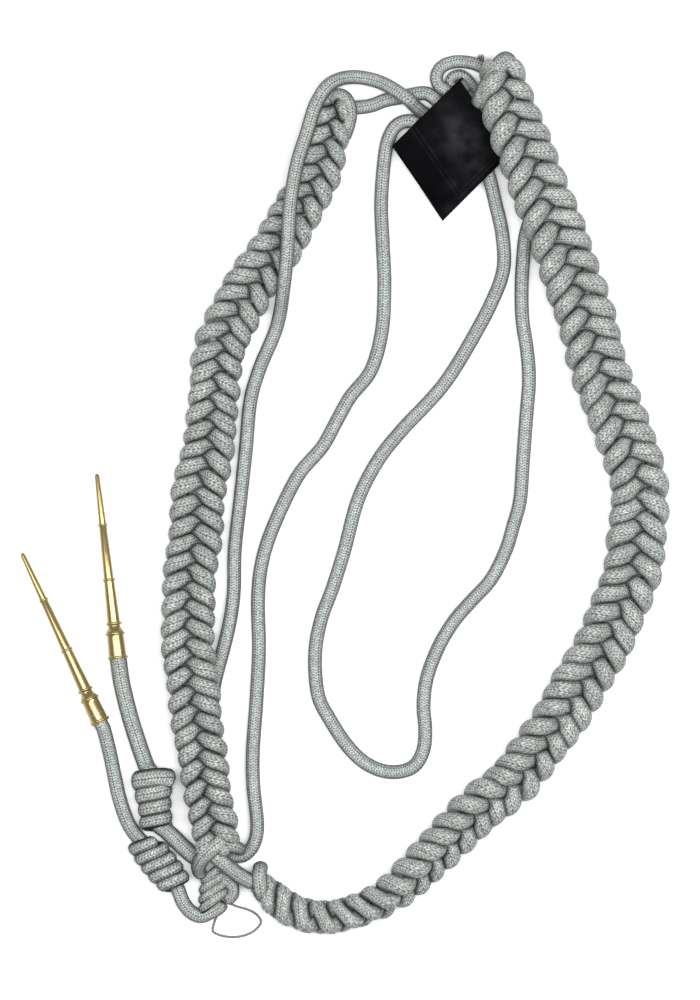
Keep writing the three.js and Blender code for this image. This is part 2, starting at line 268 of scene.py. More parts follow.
# Free cord of one diameter, laid along its route. thin draws it in where something grips it.
def laid_cord(name, route, diameter, material, nodes, twist=0.0, thin=None):
    line = spline([(*point, LAID_HEIGHT)[:3] for point in route], STITCH / 2)
    radius = diameter / 2
    size = np.full(len(line), radius)
    if thin is not None:
        size = size * thin(line)
    ribs = ribs_round(radius, radius)
    mesh = braided_sleeve(line, UP, size, size, ribs, twist, LAID_CAP, SIDE_SHADE)
    cord = finish_mesh(name, mesh, "silver_cord", material, *nodes)
    return cord, line


def wire(tree, source, target):
    tree.links.new(source, target)


# Shader node with settings of its own. values holds what each socket gets: a number, a colour or
# the output of another node.
def add_node(tree, kind, values=(), **settings):
    node = tree.nodes.new(kind)
    for name, value in settings.items():
        setattr(node, name, value)
    for label, value in dict(values).items():
        if isinstance(value, bpy.types.NodeSocket):
            wire(tree, value, node.inputs[label])
        else:
            node.inputs[label].default_value = value
    return node


def math_node(tree, operation, *values, clamp=False):
    node = add_node(tree, "ShaderNodeMath", enumerate(values), operation=operation, use_clamp=clamp)
    return node.outputs[0]


def smooth_mask(tree, value, low, high):
    values = {"Value": value, "From Min": low, "From Max": high}
    node = add_node(tree, "ShaderNodeMapRange", values, interpolation_type="SMOOTHSTEP")
    return node.outputs["Result"]


# Shader group. inputs holds each input's default value, or None for a vector, and every output is
# a number.
def new_group(name, inputs, outputs):
    tree = bpy.data.node_groups.new(name, "ShaderNodeTree")
    for label, value in inputs.items():
        kind = "NodeSocketVector" if value is None else "NodeSocketFloat"
        socket = tree.interface.new_socket(name=label, in_out="INPUT", socket_type=kind)
        if value is not None:
            socket.default_value = value
    for label in outputs:
        tree.interface.new_socket(name=label, in_out="OUTPUT", socket_type="NodeSocketFloat")
    return tree, tree.nodes.new("NodeGroupInput").outputs, tree.nodes.new("NodeGroupOutput").inputs


# Where a stitch rises and a gap opens, on waves from 0 to 1, how far the gaps of a closed row open,
# and how much of the thread's colour stays in the painted shade between two stitches.
STITCH_EDGE = (0.0, 0.7)
GAP_ACROSS = (0.4, 0.95)
GAP_ALONG = (0.05, 0.6)
CLOSED_GAP = 0.4
BETWEEN_STITCHES = 0.28
GLINTS_PER_STITCH = 2
GLINT_HEIGHT = 0.3


# Stitches of a braided cord. U counts its ribs and V counts stitches along it. Next to every
# fourth rib the gaps between stitches stand open. Thread falls from 1 on a stitch towards 0 where
# shade is painted between stitches and in the open gaps.
def braid_stitches():
    inputs = {"UV": None, "Slant": 0.6, "Gaps": 1.0}
    tree, given, result = new_group("braid stitches", inputs, ("Thread", "Glint", "Height"))
    u, v, _ = add_node(tree, "ShaderNodeSeparateXYZ", {0: given["UV"]}).outputs
    inside = math_node(tree, "MULTIPLY_ADD", math_node(tree, "FRACT", u), 2, -1)
    side = math_node(tree, "ABSOLUTE", inside)
    odd = math_node(tree, "MODULO", math_node(tree, "FLOOR", u), 2)
    lean = math_node(tree, "MULTIPLY", math_node(tree, "MULTIPLY_ADD", odd, 2, -1), given["Slant"])
    shifted = math_node(tree, "MULTIPLY_ADD", inside, lean, v)
    stitch = smooth_mask(tree, wave_of(tree, shifted), *STITCH_EDGE)
    border = smooth_mask(tree, side, *GAP_ACROSS)
    row = math_node(tree, "DIVIDE", math_node(tree, "ADD", u, 0.5), RIBS_PER_ROW)
    open_row = math_node(tree, "LESS_THAN", math_node(tree, "FRACT", row), 1 / RIBS_PER_ROW)
    pulse = smooth_mask(tree, wave_of(tree, math_node(tree, "ADD", v, 0.5)), *GAP_ALONG)
    gap = math_node(tree, "MULTIPLY", math_node(tree, "MULTIPLY", border, pulse), given["Gaps"])
    opened = math_node(tree, "MULTIPLY_ADD", open_row, 1 - CLOSED_GAP, CLOSED_GAP)
    gap = math_node(tree, "MULTIPLY", gap, opened, clamp=True)
    woven = math_node(tree, "MULTIPLY_ADD", stitch, 1 - BETWEEN_STITCHES, BETWEEN_STITCHES)
    thread = math_node(tree, "MULTIPLY", woven, math_node(tree, "SUBTRACT", 1, gap), clamp=True)
    cell = add_node(tree, "ShaderNodeCombineXYZ", {
        label: math_node(tree, "FLOOR", math_node(tree, "MULTIPLY", way, GLINTS_PER_STITCH))
        for label, way in (("X", u), ("Y", shifted))
    })
    values = {"Vector": cell.outputs[0]}
    glint = add_node(tree, "ShaderNodeTexWhiteNoise", values, noise_dimensions="2D").outputs["Value"]
    wire(tree, thread, result["Thread"])
    wire(tree, glint, result["Glint"])
    wire(tree, math_node(tree, "MULTIPLY_ADD", glint, GLINT_HEIGHT, thread), result["Height"])
    return tree


# Triangle wave that is 1 halfway between whole numbers and 0 at each of them.
def wave_of(tree, value):
    beat = math_node(tree, "MULTIPLY_ADD", math_node(tree, "FRACT", value), 2, -1)
    return math_node(tree, "SUBTRACT", 1, math_node(tree, "ABSOLUTE", beat))


# Places on the piece itself, and on its layout of ribs and stitches.
def on_piece(tree):
    return add_node(tree, "ShaderNodeTexCoord").outputs["Object"]


def on_layout(tree):
    return add_node(tree, "ShaderNodeUVMap", uv_map="UVMap").outputs[0]


# Broad soft unevenness, such as handling leaves; on the cloth it breaks up the painted sheen.
def soft_mottle():
    tree, given, result = new_group("soft mottle", {"Scale": 60.0, "Detail": 3.0}, ("Mask",))
    values = {"Scale": given["Scale"], "Detail": given["Detail"], "Roughness": 0.55}
    noise = add_node(tree, "ShaderNodeTexNoise", {"Vector": on_piece(tree), **values})
    wire(tree, smooth_mask(tree, noise.outputs["Fac"], 0.3, 0.7), result["Mask"])
    return tree


def use_group(tree, group, values):
    return add_node(tree, "ShaderNodeGroup", values, node_tree=group)


# Number that a mesh carries at each of its points.
def carried(tree, name):
    return add_node(tree, "ShaderNodeAttribute", attribute_name=name).outputs["Fac"]


# Colour between two others. Inputs 6 and 7 and output 2 are the Mix node's colour sockets.
def blend_colours(tree, share, *colours):
    first, second = ((*colour, 1) if isinstance(colour, tuple) else colour for colour in colours)
    values = {"Factor": share, 6: first, 7: second}
    return add_node(tree, "ShaderNodeMix", values, data_type="RGBA").outputs[2]


# New material with its shader's own sockets set. An underscore in a label stands for a space.
def new_material(name, **values):
    material = bpy.data.materials.new(name)
    material.use_nodes = True
    shader = material.node_tree.nodes["Principled BSDF"]
    for label, value in values.items():
        shader.inputs[label.replace("_", " ")].default_value = value
    return material, material.node_tree, shader


# Colour and roughness of a shader. polish is added to the roughness where the mask is 1.
def paint(tree, shader, colour, mask, polish, rough):
    wire(tree, colour, shader.inputs["Base Color"])
    wire(tree, math_node(tree, "MULTIPLY_ADD", mask, polish, rough), shader.inputs["Roughness"])


def bump(tree, shader, height, distance, strength):
    node = add_node(tree, "ShaderNodeBump", {"Height": height, "Distance": distance, "Strength": strength})
    wire(tree, node.outputs["Normal"], shader.inputs["Normal"])


# Silver-grey braid: painted glints on its stitches, and painted shade in its gaps, on its sides,
# underneath and where a cord presses on its neighbour.
def silver_braid(name, stitches, mottle, slant, gaps, dull, bright):
    material, tree, shader = new_material(name, Metallic=0.1, Specular_IOR_Level=0.4)
    braid = use_group(tree, stitches, {"UV": on_layout(tree), "Slant": slant, "Gaps": gaps})
    wear = use_group(tree, mottle, {"Scale": 60.0})
    # Painted glints: each glint cell's colour lies between the dull thread and its bright glint.
    thread = blend_colours(tree, braid.outputs["Glint"], dull, bright)
    worn = blend_colours(tree, math_node(tree, "MULTIPLY", wear.outputs["Mask"], 0.35), thread, dull)
    # Painted shade between the stitches and in the open gaps.
    woven = blend_colours(tree, braid.outputs["Thread"], BRAID_GAP_SHADE, worn)
    # Painted shade on the sides, underneath, on the wrap edges and in the crevices.
    colour = blend_colours(tree, carried(tree, "painted_shade_and_tarnish"), woven, BRAID_PAINTED_SHADE)
    paint(tree, shader, colour, braid.outputs["Glint"], -0.2, 0.72)
    bump(tree, shader, braid.outputs["Height"], 0.16 * MM, 0.7)
    return material


# Black wool: a fine diagonal twill, with a painted sheen on its middle and painted highlights
# beside its seams, and paler where the lining shows.
def black_cloth(mottle):
    material, tree, shader = new_material("black wool cloth", Specular_IOR_Level=0.018)
    weave = {"Vector": on_piece(tree), "Scale": 420.0, "Distortion": 0.6, "Detail": 2.0, "Detail Scale": 3.0}
    twill = add_node(tree, "ShaderNodeTexWave", weave, bands_direction="DIAGONAL")
    cloud = use_group(tree, mottle, {"Scale": 170.0, "Detail": 2.0})
    # Painted sheen, broken up by the mottle, and painted highlights beside the seams.
    share = math_node(tree, "MULTIPLY_ADD", cloud.outputs["Mask"], 0.75, 0.25)
    share = math_node(tree, "MULTIPLY", share, carried(tree, "painted_sheen"), clamp=True)
    nap = blend_colours(tree, share, DARK_NAP, PAINTED_SHEEN_NAP)
    colour = blend_colours(tree, carried(tree, "lining"), nap, LINING)
    paint(tree, shader, colour, cloud.outputs["Mask"], -0.1, 0.75)
    bump(tree, shader, twill.outputs["Fac"], 0.05 * MM, 0.35)
    return material


# Gilt brass, darkened by painted shade underneath and by tarnish beside its rings.
def gilt_brass(mottle):
    material, tree, shader = new_material("gilt brass", Metallic=0.72)
    age = use_group(tree, mottle, {"Scale": 240.0, "Detail": 4.0})
    gold = blend_colours(tree, age.outputs["Mask"], DEEP_GOLD, PALE_GOLD)
    # Painted shade underneath and tarnish beside the rings, from the point attribute.
    colour = blend_colours(tree, carried(tree, "painted_shade_and_tarnish"), gold, TARNISH_AND_SHADE)
    paint(tree, shader, colour, age.outputs["Mask"], -0.06, 0.27)
    return material


# Grey thread with the ridge of its ply wound round it: painted shade between the plies and a
# painted highlight on their crests.
def grey_thread():
    material, tree, shader = new_material("grey sewing thread", Roughness=0.6)
    u, v, _ = add_node(tree, "ShaderNodeSeparateXYZ", {0: on_layout(tree)}).outputs
    ply = math_node(tree, "FRACT", math_node(tree, "ADD", u, v))
    round_ply = math_node(tree, "SINE", math_node(tree, "MULTIPLY", ply, math.pi))
    # Painted shade between the plies and a painted highlight on their crests.
    colour = blend_colours(tree, round_ply, SHADED_PLY, LIT_PLY)
    wire(tree, colour, shader.inputs["Base Color"])
    bump(tree, shader, round_ply, 0.1 * MM, 0.6)
    return material


make_camera()
STITCHES = braid_stitches()
MOTTLE = soft_mottle()
LOOP_SILVER = silver_braid("silver braid of the loose cords", STITCHES, MOTTLE, 0.4, 1.0, *LOOP_THREAD_AND_GLINT)
PLAIT_SILVER = silver_braid("silver braid of the plaits", STITCHES, MOTTLE, 0.5, 0.95, *PLAIT_THREAD_AND_GLINT)
CLOTH = black_cloth(MOTTLE)
BRASS = gilt_brass(MOTTLE)
THREAD_GREY = grey_thread()

# Routes of the cords from one end to the other: x, y and height of the centreline. A point without
# a height lies on the table.
LAID_HEIGHT = 0.0029
OUTER_LOOP_ROUTE = [
    (0.0092, 0.1474, 0.0030), (0.0032, 0.1518, 0.0034), (-0.0004, 0.1545, 0.0074),
    (-0.0040, 0.1576, 0.0104), (-0.0142, 0.1638, 0.0080), (-0.0254, 0.1658, 0.0090),
    (-0.0342, 0.1626, 0.0134), (-0.0398, 0.1544, 0.0160), (-0.0434, 0.1430, 0.0168),
    (-0.0474, 0.1302, 0.0176), (-0.0500, 0.1146, 0.0178), (-0.0510, 0.0986, 0.0176),
    (-0.0524, 0.0840, 0.0136), (-0.0554, 0.0666, 0.0044), (-0.0624, 0.0494), (-0.0662, 0.0358),
    (-0.0680, 0.0166), (-0.0702, -0.0034), (-0.0724, -0.0234), (-0.0728, -0.0402),
    (-0.0744, -0.0522), (-0.0770, -0.0634), (-0.0806, -0.0774), (-0.0830, -0.0954),
    (-0.0822, -0.1154), (-0.0806, -0.1310),
]
INNER_LOOP_ROUTE = [
    (0.0028, 0.1440, 0.0047), (-0.0010, 0.1482, 0.0043), (-0.0058, 0.1479, 0.0034),
    (-0.0092, 0.1448), (-0.0116, 0.1386), (-0.0129, 0.1284), (-0.0137, 0.1144), (-0.0130, 0.0984),
    (-0.0124, 0.0824), (-0.0134, 0.0644), (-0.0178, 0.0486), (-0.0262, 0.0378), (-0.0318, 0.0278),
    (-0.0374, 0.0178), (-0.0460, 0.0078), (-0.0522, -0.0034), (-0.0590, -0.0194),
    (-0.0622, -0.0322), (-0.0631, -0.0454), (-0.0627, -0.0634), (-0.0637, -0.0834),
    (-0.0651, -0.1034), (-0.0650, -0.1174), (-0.0634, -0.1334), (-0.0648, -0.1414),
    (-0.0684, -0.1456), (-0.0726, -0.1462), (-0.0766, -0.1466),
]
CENTRE_LOOP_ROUTE = [
    (0.0266, 0.1334, 0.0047), (0.0294, 0.1266, 0.0040), (0.0322, 0.1154), (0.0350, 0.1022),
    (0.0352, 0.0886), (0.0298, 0.0742), (0.0202, 0.0566), (0.0126, 0.0446), (0.0058, 0.0364),
    (-0.0054, 0.0246), (-0.0150, 0.0124), (-0.0230, -0.0034), (-0.0284, -0.0234),
    (-0.0330, -0.0382), (-0.0378, -0.0514), (-0.0402, -0.0654), (-0.0390, -0.0816),
    (-0.0338, -0.0922), (-0.0274, -0.1018), (-0.0210, -0.1082), (-0.0138, -0.1118),
    (-0.0066, -0.1124), (-0.0004, -0.1100), (0.0032, -0.1038), (0.0040, -0.0954),
    (0.0033, -0.0854), (0.0048, -0.0742), (0.0096, -0.0618), (0.0158, -0.0516), (0.0230, -0.0434),
    (0.0304, -0.0352), (0.0362, -0.0238), (0.0394, -0.0134), (0.0420, -0.0034), (0.0432, 0.0126),
    (0.0444, 0.0286), (0.0456, 0.0446), (0.0448, 0.0566), (0.0430, 0.0686), (0.0426, 0.0806),
    (0.0432, 0.0926), (0.0444, 0.1036), (0.0476, 0.1126, 0.0040),
]
LINK_ROUTE = [
    (-0.0258, 0.1539, 0.0040), (-0.0228, 0.1540, 0.0036), (-0.0176, 0.1548, 0.0031),
    (-0.0116, 0.1570), (-0.0034, 0.1586), (0.0036, 0.1598), (0.0080, 0.1574), (0.0102, 0.1544),
]
OUTER_TOP_ROUTE = [
    (0.0184, 0.1556, 0.0046), (0.0134, 0.1600, 0.0046), (0.0096, 0.1626, 0.0047),
    (0.0084, 0.1662, 0.0047), (0.0104, 0.1700, 0.0047), (0.0146, 0.1720, 0.0047),
    (0.0194, 0.1722, 0.0047), (0.0242, 0.1712, 0.0047), (0.0290, 0.1688, 0.0047),
]
INNER_TOP_ROUTE = [
    (0.0192, 0.1602, 0.0023), (0.0154, 0.1624, 0.0023), (0.0142, 0.1646, 0.0023),
    (0.0156, 0.1666, 0.0023), (0.0186, 0.1670, 0.0023), (0.0214, 0.1648, 0.0023),
    (0.0238, 0.1612, 0.0023), (0.0258, 0.1570, 0.0023), (0.0278, 0.1526, 0.0023),
]
# Each pencil cord runs from the joint through its knot into its ferrule.
UPPER_PENCIL_ROUTE = [
    (-0.0858, -0.1478, 0.0036), (-0.0890, -0.1460, 0.0035), (-0.0930, -0.1426, 0.0035),
    (-0.0968, -0.1388, 0.0036), (-0.0998, -0.1360, 0.0040), (-0.1036, -0.1320, 0.0060),
    (-0.1050, -0.1220, 0.0062), (-0.1062, -0.1130, 0.0058), (-0.1080, -0.1096, 0.0040),
    (-0.1112, -0.1006, 0.0035), (-0.1146, -0.0896, 0.0035), (-0.1176, -0.0774, 0.0036),
    (-0.1190, -0.0678, 0.0042), (-0.1194, -0.0645, 0.0043),
]
LOWER_PENCIL_ROUTE = [
    (-0.0772, -0.1644, 0.0042), (-0.0788, -0.1668, 0.0033), (-0.0820, -0.1686, 0.0030),
    (-0.0860, -0.1702, 0.0030), (-0.0900, -0.1686, 0.0030), (-0.0932, -0.1646, 0.0031),
    (-0.0954, -0.1588, 0.0038), (-0.0978, -0.1554, 0.0055), (-0.1028, -0.1487, 0.0058),
    (-0.1080, -0.1418, 0.0055), (-0.1126, -0.1370, 0.0034), (-0.1159, -0.1314, 0.0030),
    (-0.1188, -0.1226, 0.0030), (-0.1207, -0.1138, 0.0030), (-0.1224, -0.1054, 0.0030),
    (-0.1247, -0.0960, 0.0038), (-0.1258, -0.0934, 0.0042), (-0.1271, -0.0907, 0.0042),
]
JOINT_ROUTE = [
    (-0.0812, -0.1446, 0.0122), (-0.0786, -0.1466, 0.0126), (-0.0760, -0.1489, 0.0120),
    (-0.0722, -0.1521, 0.0104), (-0.0684, -0.1547, 0.0084), (-0.0644, -0.1570, 0.0068),
]
STUB_ROUTE = [
    (-0.0782, -0.1546, 0.0056), (-0.0752, -0.1560, 0.0056), (-0.0732, -0.1588, 0.0050),
    (-0.0736, -0.1620, 0.0042), (-0.0766, -0.1640, 0.0036),
]
THREAD_ROUTE = [
    (-0.0756, -0.1642, 0.0010), (-0.0726, -0.1662, 0.0005), (-0.0674, -0.1678, 0.0005),
    (-0.0638, -0.1698, 0.0005), (-0.0620, -0.1730, 0.0005), (-0.0650, -0.1766, 0.0005),
    (-0.0702, -0.1786, 0.0005), (-0.0762, -0.1786, 0.0005), (-0.0810, -0.1768, 0.0005),
    (-0.0808, -0.1734, 0.0005), (-0.0790, -0.1690, 0.0005), (-0.0778, -0.1662, 0.0005),
]


# Loose cords: name, route, diameter, real length and twist.
LOOSE_CORDS = [
    ("outer_loop_cord", OUTER_LOOP_ROUTE, LOOP_CORD, 0.357, 3.0),
    ("inner_loop_cord", INNER_LOOP_ROUTE, LOOP_CORD, 0.330, -2.5),
    ("centre_loop_cord", CENTRE_LOOP_ROUTE, LOOP_CORD, 0.526, 2.2),
    ("link_cord", LINK_ROUTE, LINK_CORD, 0.039, 6.0),
    ("top_loop_outer", OUTER_TOP_ROUTE, OUTER_TOP_CORD, 0.040, 8.0),
    ("top_loop_inner", INNER_TOP_ROUTE, INNER_TOP_CORD, 0.031, 8.0),
]


def loose_cords():
    for name, route, diameter, length, twist in LOOSE_CORDS:
        cord, line = laid_cord(name + "_braid", route, diameter, LOOP_SILVER, (name,), twist)


# A cord is drawn in where its knot grips it: to this share of its size, over this share of the
# knot on either side of its middle, and back to full size over this length.
GRIP = 0.7
GRIP_REACH = 0.35
GRIP_EASE = 2 * MM
PENCIL_TWIST = 4.0


def gripped(start, end):
    middle = (np.array(start) + np.array(end)) / 2
    reach = GRIP_REACH * np.linalg.norm(np.array(end) - np.array(start))

    def thin(line):
        away = np.linalg.norm(line[:, :2] - middle, axis=1)
        inside = np.clip((reach - away) / GRIP_EASE, 0, 1)
        return 1 - (1 - GRIP) * inside

    return thin


loose_cords()

# Wound knots. start and end are the ends of a knot's axis, wide and high its halves across. slant
# leans the wraps, ends moves the first and the last one aside, narrowing makes the later ones
# narrower, fill is a wrap's half-width in pitches, and widths shapes the knot from end to end. A
# bend at an end dies away over END_DECAY, in radians of winding. KNOT_LEAN and WRAP_EDGE are the
# leans of the surface, upward and along the axis, between which the shade comes in.
KNOT_GAP = 0.15 * MM
FLATTENED = 0.38
END_DECAY = 0.55
END_DROOP = 1.0
WRAP_SAMPLES = 60
OPEN_TURN = 0.2
FIRST_ANGLE = 0.1 * math.pi
LEAD_IN = 0.6 * math.pi
KNOT_LEAN = (0.2, 0.8)
WRAP_EDGE = (0.3, 0.75)
UPPER_KNOT = {
    "start": (-0.1062, -0.1110), "end": (-0.1036, -0.1338), "wide": 0.0080, "high": 0.0060, "wraps": 4,
    "slant": 0.0004, "ends": 0.0034, "narrowing": 0.18, "fill": 0.61,
    "widths": (1.06, 1.0, 0.88, 0.84, 0.9),
}
LOWER_KNOT = {
    "start": (-0.1096, -0.1396), "end": (-0.0960, -0.1578), "wide": 0.0072, "high": 0.0056, "wraps": 5,
    "slant": 0.0022, "ends": 0.0, "narrowing": 0.0, "fill": 0.61,
    "widths": (0.92, 1.02, 1.04, 1.04, 0.98, 0.86),
}
JOINT_KNOT = {
    "start": (-0.0802, -0.1504), "end": (-0.0812, -0.1656), "wide": 0.0060, "high": 0.0044, "wraps": 4,
    "slant": -0.0030, "ends": 0.0, "narrowing": 0.0, "fill": 0.53,
    "widths": (0.9, 1.0, 1.03, 1.0, 0.9),
}


# Cord wound side by side round a core: each wrap lies next to the last one.
def wound_knot(name, node, size, material):
    start, end = np.array(size["start"]), np.array(size["end"])
    length = np.linalg.norm(end - start)
    ahead = (end - start) / length
    aside = np.array([-ahead[1], ahead[0]])
    thick = FLATTENED * size["high"]
    turns = size["wraps"] - OPEN_TURN
    phase = np.linspace(0, 2 * math.pi * turns, int(WRAP_SAMPLES * turns))
    angle = phase + FIRST_ANGLE
    swing = np.cos(angle)
    widths = np.interp(phase, np.linspace(0, phase[-1], len(size["widths"])), size["widths"])
    first, last = np.exp(-phase / END_DECAY), np.exp(-(phase[-1] - phase) / END_DECAY)
    share = (phase + LEAD_IN) / (2 * math.pi * size["wraps"])
    pitch = length / size["wraps"] * (1 + size["narrowing"] * (1 - 2 * share))
    along = length * (share + size["narrowing"] * share * (1 - share))
    along += size["slant"] * swing + END_DROOP * size["ends"] * first
    lateral = (size["wide"] * widths - thick) * swing + size["ends"] * (first + last)
    line = np.column_stack([
        start[0] + ahead[0] * along + aside[0] * lateral,
        start[1] + ahead[1] * along + aside[1] * lateral,
        size["high"] + KNOT_GAP + (size["high"] - thick) * np.sin(angle),
    ])
    out = np.column_stack([aside[0] * swing, aside[1] * swing, np.sin(angle)])
    cord = evenly(np.column_stack([line, out, size["fill"] * pitch]), STITCH / 2)
    ribs = ribs_round(np.mean(cord[:, 6]), thick)
    mesh = braided_sleeve(cord[:, :3], cord[:, 3:6], cord[:, 6], thick, ribs)
    axis = Vector((*ahead, 0))

    # Painted shade on the knot's sides and along the edges of its wraps.
    def shade(vert):
        side = SIDE_SHADE * (1 - smoothstep(vert.normal.z, *KNOT_LEAN))
        return max(side, smoothstep(abs(vert.normal.dot(axis)), *WRAP_EDGE))

    mark_shade_and_tarnish(mesh, shade)
    return finish_mesh(name, mesh, "silver_cord", material, node)


# Ferrule profile from the tip, in millimetres: radius and distance. A tube has both for each end,
# and a ring has its radius, its middle and the half of its length.
FERRULE_TIP = [(0.0, 0.0), (0.35, 0.06), (0.65, 0.3), (0.85, 0.8)]
FERRULE_TUBES = [(0.95, 1.2, 1.45, 20.2), (1.5, 21.4, 1.95, 42.4), (2.05, 43.6, 2.5, 60.0)]
FERRULE_RINGS = [(1.95, 20.8, 0.5), (2.55, 43.0, 0.5), (3.2, 60.6, 0.5)]
CUP = [(2.45, 61.4), (2.5, 62.4), (3.1, 63.2), (3.5, 63.8)]
CUP_RING = (3.95, 64.7, 0.55)
CUP_WALL = [(3.3, 65.9), (3.35, 66.4), (3.55, 73.0)]
MOUTH_RING = (4.15, 74.3, 0.6)
MOUTH = [(3.75, 75.0), (3.55, 74.6), (3.5, 71.0), (0.0, 71.0)]
RING_STEPS = 6
FERRULE_SIDES = 48
FERRULE_CREASE = math.radians(35)
# Leans of the surface where the painted shade under a ferrule and the tarnish beside its rings come in.
SHADED_BELOW = (-0.4, 0.3)
TARNISHED_BESIDE = (0.25, 0.7)


def turned_ring(radius, along, half):
    turns = [math.pi * i / RING_STEPS for i in range(RING_STEPS + 1)]
    return [(radius - half + half * math.sin(turn), along - half * math.cos(turn)) for turn in turns]


def ferrule_profile():
    rows = list(FERRULE_TIP)
    for (thin, near, thick, far), ring in zip(FERRULE_TUBES, FERRULE_RINGS):
        rows += [(thin, near), (thick, far)]
        rows += turned_ring(*ring)
    return rows + CUP + turned_ring(*CUP_RING) + CUP_WALL + turned_ring(*MOUTH_RING) + MOUTH


# Ferrule from its tip to its mouth, spun upright and then laid down.
def pencil_ferrule(name, node, tip, mouth):
    tip, axis = Vector(tip), Vector(mouth) - Vector(tip)
    shape = bmesh.new()
    rows = [shape.verts.new((radius * MM, 0, along * MM)) for radius, along in ferrule_profile()]
    edges = [shape.edges.new(pair) for pair in zip(rows, rows[1:])]
    bmesh.ops.spin(shape, geom=rows + edges, cent=(0, 0, 0), axis=(0, 0, 1), angle=2 * math.pi,
                   steps=FERRULE_SIDES, use_merge=True)
    bmesh.ops.remove_doubles(shape, verts=shape.verts, dist=MERGE_DISTANCE)
    bmesh.ops.recalc_face_normals(shape, faces=shape.faces)
    turn = axis.to_track_quat("Z", "Y").to_matrix().to_4x4()
    bmesh.ops.transform(shape, matrix=Matrix.Translation(tip) @ turn, verts=shape.verts)
    mesh = mesh_from(shape, name)
    axis = axis.normalized()
    mark_shade_and_tarnish(mesh, lambda vert: underside_shade_and_tarnish(vert.normal, axis))
    mesh.set_sharp_from_angle(angle=FERRULE_CREASE)
    return finish_mesh(name, mesh, "ferrule_brass", BRASS, node)


# Painted shade underneath a ferrule, and tarnish in the corners beside its rings.
def underside_shade_and_tarnish(normal, axis):
    below = 1 - smoothstep(normal.z, *SHADED_BELOW)
    return max(below, smoothstep(abs(normal.dot(axis)), *TARNISHED_BESIDE))


# Pencil end: the cord, the knot that grips it, and the ferrule that it ends in.
def pencil_end(side, route, diameter, knot, tip, mouth):
    wraps = wound_knot(side + "_knot_wraps", side + "_knot", knot, PLAIT_SILVER)
    ferrule = pencil_ferrule(side + "_pencil_ferrule", side + "_ferrule", tip, mouth)
    nodes = (side + "_pencil_cord", side + "_pencil_tail")
    thin = gripped(knot["start"], knot["end"])
    name = side + "_pencil_braid"
    cord, line = laid_cord(name, route, diameter, LOOP_SILVER, nodes, PENCIL_TWIST, thin)


# Thread loop: steps of its line, of which four make one turn of its ply.
THREAD_STEP = 0.35 * MM
PLY_STEPS = 4
THREAD_SIDES = 8


def thread_loop():
    line = spline(THREAD_ROUTE, THREAD_STEP)
    across, outward = directions(line, UP)

    def place(ring, column):
        angle = (2 * math.pi * column / THREAD_SIDES)[:, None]
        size = np.where((ring == 0) | (ring == len(line) - 1), 0, THREAD / 2)[:, None]
        return line[ring] + size * (np.cos(angle) * across[ring] + np.sin(angle) * outward[ring])

    mesh = rolled_grid(len(line) - 1, THREAD_SIDES, place, (1 / THREAD_SIDES, 1 / PLY_STEPS))
    loop = finish_mesh("thread_loop_twist", mesh, "grey_thread", THREAD_GREY, "thread_loop")


pencil_end("upper", UPPER_PENCIL_ROUTE, UPPER_PENCIL_CORD, UPPER_KNOT,
           (-0.1278, 0.0072, 0.0011), (-0.1191, -0.0674, 0.00435))
pencil_end("lower", LOWER_PENCIL_ROUTE, LOWER_PENCIL_CORD, LOWER_KNOT,
           (-0.1579, -0.0247, 0.0011), (-0.1261, -0.0927, 0.00435))
thread_loop()

# Centreline of each plait from its upper end. Columns: x, y, lift of the underside over the
# table, sideways sway of a strand, all in metres, and the turn of the plait in degrees.
FRONT_STATIONS = [
    (0.0338, 0.1718, 0.0070, 0.0046, -16), (0.0350, 0.1626, 0.0070, 0.0066, -16),
    (0.0370, 0.1546, 0.0071, 0.0079, -16), (0.0424, 0.1382, 0.0070, 0.0085, -14),
    (0.0498, 0.1206, 0.0058, 0.0087, -14), (0.0562, 0.1026, 0.0046, 0.0088, -13),
    (0.0646, 0.0808, 0.0018, 0.0088, -12), (0.0756, 0.0430, 0.0, 0.0086, -12),
    (0.0842, 0.0214, 0.0, 0.0086, -10), (0.0888, 0.0060, 0.0, 0.0083, -6),
    (0.0900, -0.0080, 0.0, 0.0084, 0), (0.0882, -0.0218, 0.0, 0.0087, 0),
    (0.0850, -0.0382, 0.0, 0.0084, -6), (0.0770, -0.0566, 0.0, 0.0082, -12),
    (0.0648, -0.0794, 0.0, 0.0082, -16), (0.0556, -0.0934, 0.0, 0.0076, -20),
    (0.0406, -0.1142, 0.0, 0.0072, -26), (0.0289, -0.1238, 0.0, 0.0070, -30),
    (0.0177, -0.1342, 0.0, 0.0068, -36), (0.0066, -0.1458, 0.0, 0.0062, -44),
    (-0.0052, -0.1572, 0.0, 0.0052, -58), (-0.0156, -0.1644, 0.0, 0.0042, -74),
    (-0.0290, -0.1694, 0.0, 0.0032, -86), (-0.0394, -0.1704, 0.0, 0.0030, -90),
    (-0.0490, -0.1678, 0.0, 0.0028, -90), (-0.0568, -0.1624, 0.0, 0.0025, -90),
    (-0.0630, -0.1560, 0.0, 0.0022, -90),
]
